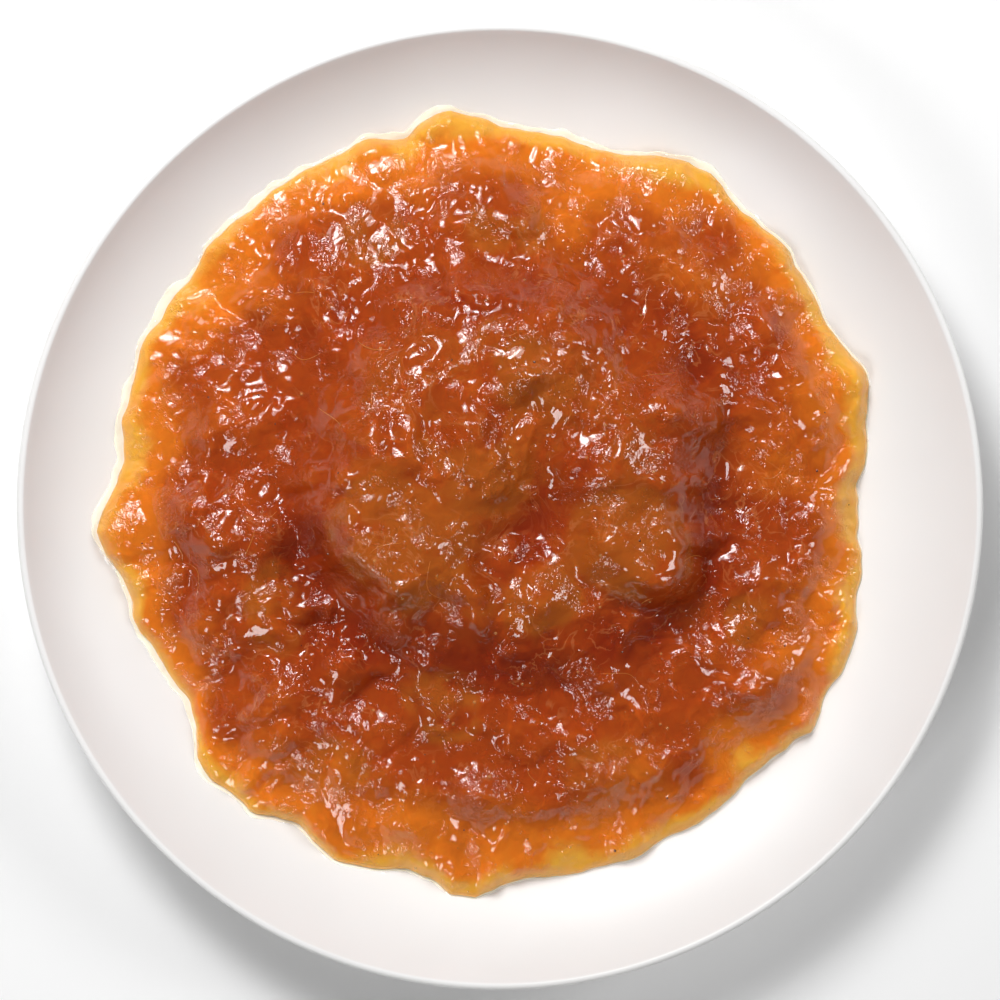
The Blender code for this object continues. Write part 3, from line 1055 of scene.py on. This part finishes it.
    def close_underside(self, heap: bpy.types.Object) -> None:
        """Extrudes the grid's border down onto the plate and inwards over its well, and fills the middle.

        Args:
            heap: The grid, shaped, with the heap's edge as its border.
        """
        select_border(heap)
        for inwards in self.underside:
            bpy.ops.mesh.extrude_region_move(TRANSFORM_OT_translate={"value": (0.0, 0.0, -0.1 * MM)})
            bpy.ops.transform.resize(value=(inwards, inwards, 1.0), center_override=(0.0, 0.0, 0.0))
        bpy.ops.mesh.edge_face_add()
        bpy.ops.object.mode_set(mode="OBJECT")
        points = read_points(heap)
        under = np.arange(len(points)) >= (self.cells + 1) ** 2
        radius = np.hypot(points[:, 0], points[:, 1])
        points[under, 2] = self.plate.inner_face(radius[under]) - self.sink
        write_points(heap, points)
        turn_outward(heap)

    def build(self, finish: GelFinish) -> bpy.types.Object:
        """Lays a grid over the solid, raises the relief on it, closes it below and dresses it.

        Args:
            finish: The gel's finish.

        Returns:
            The heap.
        """
        deselect_all()
        bpy.ops.mesh.primitive_grid_add(x_subdivisions=self.cells, y_subdivisions=self.cells, size=2.0)
        heap = bpy.context.object
        heap.name = "marmalade_gel"
        square = read_points(heap)
        across, along = square[:, 0], square[:, 1]
        wide = np.abs(across) > np.abs(along)
        long_side = np.where(wide, across, along)
        short_side = np.where(wide, along, across)
        turned = math.pi / 4.0 * short_side / np.where(long_side == 0.0, 1.0, long_side)
        turned = np.where(wide, turned, math.pi / 2.0 - turned)
        angle = np.arctan2(long_side * np.sin(turned), long_side * np.cos(turned))
        share = np.abs(long_side)
        reach = self.edge_reach(angle)
        radius = share * reach
        x, y = radius * np.cos(angle), radius * np.sin(angle)
        inside = reach - radius
        thick = self.thickness(share, angle)
        shown = thick + self.pulp.relief(x, y) * smoothstep(inside / self.edge_fade)
        shown = np.maximum(shown, self.least_thickness * thick)
        rounding = np.sqrt(1.0 - (1.0 - np.clip(inside / self.edge_round, 0.0, 1.0)) ** 2)
        shown *= self.edge_low + (1.0 - self.edge_low) * rounding
        z = self.plate.inner_face(radius) + shown
        # Painted shade in hollows and painted light on raised places, from each point's height over the level
        # around it
        hollow = self.pulp.hollow(z - self.blur(z.reshape(self.rows), self.local_steps).ravel())
        write_points(heap, np.stack((x, y, z), axis=1))
        self.close_underside(heap)
        flat = np.stack((x, y, np.zeros_like(x)), axis=1)
        uneven = np.clip(1.0 + self.depth_unevenness * noise_over(flat, self.depth_size, 81.0), 0.3, 2.0)
        glow = smoothstep(0.5 + 1.5 * noise_over(flat, self.glow_size, 82.0))
        glow *= np.exp(-inside / (self.glow_reach * self.margin))
        thin = np.exp(-inside / (self.margin * uneven)) + self.glow * glow
        pools = self.pool_share(flat)
        amber = self.amber_share(np.stack((x, y, z), axis=1)) * (1.0 - self.pool_clearness * pools)
        extra = len(heap.data.vertices) - len(x)
        # The pools darken the colour: partly deeper clear gel, partly painted shade
        tops = (hollow + self.pool_depth_and_shade * pools, thin, amber)
        for layer, top, under in zip(Layer, tops, self.under_layers):
            write_layer(heap, layer, np.append(top, np.full(extra, under)))
        finish_piece(heap, finish.material(), Slot.GEL, self.node)
        return heap


@dataclass
class FruitPiece:
    """A piece of cooked fruit: its solid, evened out, with the heap's pulp raised on it."""

    node: str
    pulp: Pulp
    voxel: float = 0.42 * MM
    softening: int = 36
    buried: float = 0.12 * MM
    amber: float = 0.9

    @property
    def name(self) -> str:
        """The piece's own name."""
        return "cooked_" + self.node

    def shape(self) -> None:
        """Copies the solid, refines it and rounds it."""
        piece = bpy.data.objects.new(self.name, bpy.data.objects[self.node].data.copy())
        bpy.context.scene.collection.objects.link(piece)
        edit_all(piece)
        bpy.ops.mesh.remove_doubles(threshold=MERGE_DISTANCE)
        bpy.ops.object.mode_set(mode="OBJECT")
        even = piece.modifiers.new("Even", "REMESH")
        even.mode = "VOXEL"
        even.voxel_size = self.voxel
        soften = piece.modifiers.new("Soften", "SMOOTH")
        soften.iterations = self.softening
        apply_all_modifiers(piece)

    def dress(self, material: bpy.types.Material, gel: bpy.types.Object) -> None:
        """Raises the pulp on the piece, keeps it under its glaze of gel, and dresses it.

        Args:
            material: The fruit's material.
            gel: The finished heap.
        """
        piece = bpy.data.objects[self.name]
        points, normals = read_points(piece), read_normals(piece)
        raised = self.pulp.relief(points[:, 0], points[:, 1]) * np.clip(normals[:, 2], 0.0, 1.0)
        points[:, 2] += raised
        surface = surface_of([gel.name])
        ground = np.array([drop_onto(surface, row[0], row[1]) for row in points])
        points[:, 2] = np.minimum(points[:, 2], ground - self.buried)
        write_points(piece, points)
        # Painted shade in the fruit's hollows and painted light on its raised places
        write_layer(piece, Layer.HOLLOW_SHADE, self.pulp.hollow(raised))
        write_layer(piece, Layer.THIN, np.zeros(len(points)))
        write_layer(piece, Layer.AMBER, np.full(len(points), self.amber))
        finish_piece(piece, material, Slot.FRUIT, self.node)


@dataclass
class Syrup:
    """The thin clear syrup that has run out round the heap's edge."""

    heap: Heap
    segments: int = 720
    overlap: float = 2.0 * MM
    least: float = 0.25 * MM
    most: float = 2.6 * MM
    height: float = 0.40 * MM
    widest_at: float = math.radians(140.0)
    off_plate: float = 0.01 * MM
    lobe_size: float = 9 * MM
    small_lobe_size: float = 3 * MM
    noise_radius: float = 70 * MM
    # Nine rings: five on top from the heap outwards, and four back under the film
    ring_out: tuple[float, ...] = (0.0, 0.45, 0.75, 0.93, 1.0, 0.97, 0.75, 0.45, 0.0)
    ring_lift: tuple[float, ...] = (0.62, 0.6, 0.55, 0.35, 0.05, 0.0, 0.0, 0.0, 0.0)

    def build(self, finish: FilmFinish) -> None:
        """Extrudes a ring outwards in steps, lays it on the plate and dresses it.

        Args:
            finish: The syrup's finish.
        """
        deselect_all()
        bpy.ops.mesh.primitive_circle_add(vertices=self.segments, radius=1.0, fill_type="NOTHING")
        film = bpy.context.object
        film.name = "syrup_film"
        edit_all(film)
        for _ in self.ring_out[1:]:
            bpy.ops.mesh.extrude_region_move(TRANSFORM_OT_translate={"value": (0.0, 0.0, 0.0)})
        bpy.ops.mesh.select_all(action="SELECT")
        bpy.ops.object.mode_set(mode="OBJECT")
        points = read_points(film)
        ring = np.arange(len(points)) // self.segments
        angle = np.arctan2(points[:, 1], points[:, 0])
        side = np.cos(angle - self.widest_at)
        rim = np.stack((np.cos(angle), np.sin(angle), np.zeros_like(angle)), axis=1) * self.noise_radius
        spread = 0.5 + 0.5 * noise_over(rim, self.lobe_size, 61.0)
        spread += 0.3 * noise_over(rim, self.small_lobe_size, 62.0)
        width = self.least + (self.most - self.least) * np.clip(spread * (0.45 + 0.55 * side), 0.0, 1.0)
        out, lift = np.array(self.ring_out)[ring], np.array(self.ring_lift)[ring]
        radius = self.heap.edge_reach(angle) - self.overlap + out * (self.overlap + width)
        points[:, 0], points[:, 1] = radius * np.cos(angle), radius * np.sin(angle)
        points[:, 2] = self.heap.plate.inner_face(radius) + lift * self.height + self.off_plate
        write_points(film, points)
        select_border(film)
        bpy.ops.mesh.bridge_edge_loops()
        turn_outward(film)
        finish_piece(film, finish.material(), Slot.GEL)
        film.visible_shadow = False


def join_copies(first: bpy.types.Object, shapes: list[np.ndarray], name: str) -> bpy.types.Object:
    """Copies a small piece, gives each copy's points their own places, and joins the copies.

    Args:
        first: The small piece, which is removed afterwards.
        shapes: The points of each copy, in the order of the small piece's own.
        name: The joined piece's name.

    Returns:
        The joined piece.
    """
    copies = []
    for shape in shapes:
        copy = first.copy()
        copy.data = first.data.copy()
        bpy.context.scene.collection.objects.link(copy)
        write_points(copy, shape)
        copies.append(copy)
    bpy.data.objects.remove(first)
    activate(copies[0])
    for copy in copies:
        copy.select_set(True)
    bpy.ops.object.join()
    joined = bpy.context.object
    joined.name = name
    return joined


@dataclass
class Bits:
    """Small round things that lie half sunk in the heap: air bubbles, or dark specks of peel."""

    name: str
    count: int
    radius: tuple[float, float]
    seed: int
    flatness: float = 0.86
    raggedness: float = 0.0
    rise: float = 0.25
    lump: float = 0.7

    def build(self, heap: bpy.types.Object, cells: int, finish: FilmFinish) -> None:
        """Models one bit, copies it to places drawn from the heap's surface, and joins the copies.

        Args:
            heap: The finished heap.
            cells: How many cells its grid has along a side.
            finish: The bits' finish.
        """
        draw = random.Random(self.seed)
        deselect_all()
        bpy.ops.mesh.primitive_ico_sphere_add(subdivisions=2, radius=1.0)
        first = bpy.context.object
        bpy.ops.object.mode_set(mode="EDIT")
        bpy.ops.transform.resize(value=(1.0, 1.0, self.flatness))
        bpy.ops.object.mode_set(mode="OBJECT")
        round_bit = read_points(first)
        points, normals = read_points(heap), read_normals(heap)
        shapes = []
        for number in range(self.count):
            index = draw.randrange((cells + 1) ** 2)
            size = draw.uniform(*self.radius)
            ragged = 1.0 + self.raggedness * noise_over(round_bit, self.lump, float(number))
            place = points[index] + normals[index] * size * self.rise
            shapes.append(place + round_bit * size * ragged[:, None])
        bits = join_copies(first, shapes, self.name)
        finish_piece(bits, finish.material(), Slot.GEL)
        bits.visible_shadow = False


@dataclass
class Beads:
    """Long beads along the heap's edge, most of them at the runny side: opaque near-white, painted glints for
    the sparkle of clear syrup.
    """

    heap: Heap
    count: int = 150
    length: tuple[float, float] = (0.4 * MM, 1.7 * MM)
    width: tuple[float, float] = (0.18 * MM, 0.42 * MM)
    off: tuple[float, float] = (-0.3 * MM, 0.8 * MM)
    side: float = math.radians(135.0)
    spread: float = math.radians(50.0)
    unevenness: float = 0.5
    flatness: float = 0.8
    rise: float = 0.15
    edge_samples: int = 3600
    seed: int = 41

    def build(self, finish: FilmFinish) -> None:
        """Models one bead, lays long copies of it on the plate along the edge, and joins them.

        Args:
            finish: The beads' finish.
        """
        draw = random.Random(self.seed)
        deselect_all()
        bpy.ops.mesh.primitive_ico_sphere_add(subdivisions=2, radius=0.5)
        first = bpy.context.object
        ball = read_points(first)
        turns = np.linspace(0.0, math.tau, self.edge_samples)
        edge = self.heap.edge_reach(turns)
        shapes = []
        for number in range(self.count):
            angle = draw.gauss(self.side, self.spread)
            length, width = draw.uniform(*self.length), draw.uniform(*self.width)
            off = draw.uniform(*self.off)
            bent = 1.0 + self.unevenness * noise_over(ball, 0.5, float(number))[:, None]
            bead = ball * bent * np.array((width, length, self.flatness * width))
            turned = angle + bead[:, 1] / self.heap.pulp.reach
            radius = np.interp(turned % math.tau, turns, edge, period=math.tau) + off + bead[:, 0]
            z = self.heap.plate.inner_face(radius) + bead[:, 2] + self.rise * width
            shapes.append(np.stack((radius * np.cos(turned), radius * np.sin(turned), z), axis=1))
        beads = join_copies(first, shapes, "syrup_beads")
        finish_piece(beads, finish.material(), Slot.GEL)
        beads.visible_shadow = False


@dataclass
class Fibres:
    """The fine pale fibres of fruit that lie curled on the heap."""

    count: int = 22
    length: tuple[float, float] = (2.5 * MM, 8.0 * MM)
    radius: tuple[float, float] = (0.06 * MM, 0.11 * MM)
    bow: float = 0.28
    reach: float = 62 * MM
    rise: float = 0.35
    sides: int = 6
    steps: int = 16
    seed: int = 17

    def build(self, heap: bpy.types.Object, finish: FilmFinish) -> None:
        """Extrudes one straight fibre, lays bent copies of it on the heap, and joins them.

        Args:
            heap: The finished heap.
            finish: The fibres' finish.
        """
        draw = random.Random(self.seed)
        deselect_all()
        bpy.ops.mesh.primitive_circle_add(vertices=self.sides, radius=1.0, fill_type="NGON")
        first = bpy.context.object
        edit_all(first)
        for _ in range(self.steps):
            bpy.ops.mesh.extrude_region_move(TRANSFORM_OT_translate={"value": (0.0, 0.0, 1.0 / self.steps)})
        turn_outward(first)
        straight = read_points(first)
        rings = np.rint(straight[:, 2] * self.steps).astype(int)
        surface = surface_of([heap.name])
        shapes = []
        for _ in range(self.count):
            turn, facing = draw.uniform(0.0, math.tau), draw.uniform(0.0, math.tau)
            out = self.reach * math.sqrt(draw.random())
            length, radius = draw.uniform(*self.length), draw.uniform(*self.radius)
            bow, kink = draw.uniform(-self.bow, self.bow), draw.uniform(-0.5, 0.5) * self.bow
            along = straight[:, 2] - 0.5
            # The slope is that of the side line, a bow with a kink
            slope = -8.0 * bow * along + 3.0 * kink * np.cos(6.0 * along)
            side = bow * (1.0 - 4.0 * along**2) + 0.5 * kink * np.sin(6.0 * along)
            taper = radius * np.sqrt(np.clip(1.0 - (1.9 * along) ** 2, 0.05, 1.0))
            lean = np.sqrt(1.0 + slope**2)
            line_x = length * along - taper * straight[:, 0] * slope / lean
            line_y = length * side + taper * straight[:, 0] / lean
            x = out * math.cos(turn) + line_x * math.cos(facing) - line_y * math.sin(facing)
            y = out * math.sin(turn) + line_x * math.sin(facing) + line_y * math.cos(facing)
            middles = [(x[rings == ring].mean(), y[rings == ring].mean()) for ring in range(self.steps + 1)]
            ground = np.array([drop_onto(surface, *middle) for middle in middles])[rings]
            shapes.append(np.stack((x, y, ground + taper * (straight[:, 1] + self.rise)), axis=1))
        fibres = join_copies(first, shapes, "fruit_fibres")
        finish_piece(fibres, finish.material(), Slot.GEL)


@dataclass(frozen=True)
class Lamp:
    """A square softbox that faces the plate. Angles are in degrees."""

    name: str
    azimuth: float
    elevation: float
    distance: float
    size: float
    power: float

    def build(self) -> None:
        """Hangs the lamp in its place."""
        light = bpy.data.objects.new(self.name, bpy.data.lights.new(self.name, "AREA"))
        bpy.context.scene.collection.objects.link(light)
        azimuth, elevation = math.radians(self.azimuth), math.radians(self.elevation)
        flat = math.cos(elevation)
        direction = Vector((flat * math.cos(azimuth), flat * math.sin(azimuth), math.sin(elevation)))
        light.location = direction * self.distance
        light.rotation_euler = (-direction).to_track_quat("-Z", "Y").to_euler()
        light.data.size = self.size
        light.data.energy = self.power


LAMPS = (
    Lamp("softbox_back", 115.0, 50.0, 0.85, 0.22, 3.0),
    Lamp("softbox_cloth", 115.0, 50.0, 0.86, 0.42, 3.2),
    Lamp("softbox_right", 15.0, 36.0, 1.0, 0.28, 2.75),
    Lamp("softbox_left", 235.0, 40.0, 1.0, 0.28, 2.65),
)


@dataclass
class Studio:
    """A plain pale floor, soft studio light and the camera straight above, as in the photograph."""

    floor_size: float = 1.5
    floor_colour: Colour = (0.95, 0.95, 0.95, 1.0)
    camera_height: float = 0.897
    camera_offset: tuple[float, float] = (0.03 * MM, 1.25 * MM)
    lens: float = 170.0
    sensor: float = 36.0
    room_brightness: float = 0.075
    backdrop_brightness: float = 0.85
    room_colour: Colour = (1.0, 0.99, 0.985, 1.0)

    def build_floor(self) -> None:
        """Lays the floor and gives it a soft white."""
        deselect_all()
        bpy.ops.mesh.primitive_plane_add(size=self.floor_size)
        floor = bpy.context.object
        floor.name = "floor"
        material, _, shader = start_material("pale_floor")
        shader.inputs["Base Color"].default_value = self.floor_colour
        shader.inputs["Roughness"].default_value = 0.7
        floor.data.materials.append(material)

    def build_camera(self) -> None:
        """Hangs the camera over the plate, looking straight down with the plate's back at the top."""
        camera = bpy.data.objects.new("camera", bpy.data.cameras.new("camera"))
        bpy.context.scene.collection.objects.link(camera)
        camera.location = (*self.camera_offset, self.camera_height)
        camera.data.lens = self.lens
        camera.data.sensor_width = self.sensor
        bpy.context.scene.camera = camera

    def build_light(self) -> None:
        """Hangs the lamps, lights the room evenly and dimly, and makes the backdrop pale."""
        for lamp in LAMPS:
            lamp.build()
        world = bpy.data.worlds.new("studio")
        world.use_nodes = True
        background = world.node_tree.nodes["Background"]
        background.inputs["Color"].default_value = self.room_colour
        sheet = NodeSheet(world.node_tree)
        seen = sheet.add("LightPath").outputs["Is Camera Ray"]
        more = self.backdrop_brightness - self.room_brightness
        strength = sheet.maths("MULTIPLY_ADD", seen, more, self.room_brightness)
        sheet.join(strength, background.inputs["Strength"])
        bpy.context.scene.world = world
        bpy.context.scene.view_settings.view_transform = "Standard"

    def build(self) -> None:
        """Builds the floor, the camera and the light."""
        self.build_floor()
        self.build_camera()
        self.build_light()


GEL = GelFinish(
    name="orange_marmalade",
    # Besides the gel's own colours: painted shade for hollows, painted light for raised places and a painted
    # pinkish sheen
    painted_shade=(0.24, 0.022, 0.004, 1.0),
    body=(0.355, 0.049, 0.006, 1.0),
    ridge=(0.44, 0.075, 0.008, 1.0),
    amber=(0.375, 0.082, 0.009, 1.0),
    painted_sheen=(0.52, 0.16, 0.050, 1.0),
    thin=(0.71, 0.17, 0.012, 1.0),
    edge=(0.78, 0.37, 0.042, 1.0),
)
FRUIT = GelFinish(
    name="amber_fruit",
    # Besides the fruit's own colours: painted shade for hollows, painted light for raised places and a
    # painted pinkish sheen
    painted_shade=(0.32, 0.052, 0.003, 1.0),
    body=(0.39, 0.080, 0.005, 1.0),
    ridge=(0.46, 0.110, 0.009, 1.0),
    amber=(0.42, 0.098, 0.007, 1.0),
    painted_sheen=(0.56, 0.22, 0.090, 1.0),
    thin=(0.70, 0.26, 0.03, 1.0),
    edge=(0.90, 0.48, 0.12, 1.0),
)
SYRUP = FilmFinish(name="clear_syrup", tint=(1.0, 0.84, 0.58, 1.0), cover=0.42)
# Opaque near-white beads: painted glints of the clear syrup
GLINT_BEAD = FilmFinish(name="painted_glint_bead", tint=(1.0, 0.99, 0.96, 1.0), cover=1.0)
BUBBLE = FilmFinish(name="bubble_skin", tint=(0.85, 0.45, 0.16, 1.0))
SPECK = FilmFinish(name="peel_speck", tint=(0.10, 0.020, 0.006, 1.0), cover=1.0)
FIBRE = FilmFinish(name="fibre_skin", tint=(0.50, 0.15, 0.025, 1.0), cover=1.0, roughness=0.10)
BUBBLES = Bits("bubbles", 150, (0.12 * MM, 0.36 * MM), 9)
SPECKS = Bits("peel_specks", 46, (0.10 * MM, 0.26 * MM), 23, flatness=0.5, raggedness=0.5, rise=0.05)


def main() -> None:
    """Builds every piece in order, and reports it."""
    build_gel_group()
    build_wrinkle_group()
    Studio().build()
    plate = Plate()
    plate.build()
    pulp = Pulp()
    fruit = [FruitPiece(name, pulp) for name in sorted(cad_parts) if name.startswith("fruit_")]
    for piece in fruit:
        piece.shape()
    heap = Heap(plate, pulp, [piece.name for piece in fruit])
    gel = heap.build(GEL)
    fruit_material = FRUIT.material()
    for piece in fruit:
        piece.dress(fruit_material, gel)
    Syrup(heap).build(SYRUP)
    Beads(heap).build(GLINT_BEAD)
    BUBBLES.build(gel, heap.cells, BUBBLE)
    SPECKS.build(gel, heap.cells, SPECK)
    Fibres().build(gel, FIBRE)


if __name__ == "__main__":
    logging.basicConfig(level=logging.INFO, format="%(name)s: %(message)s")
    main()
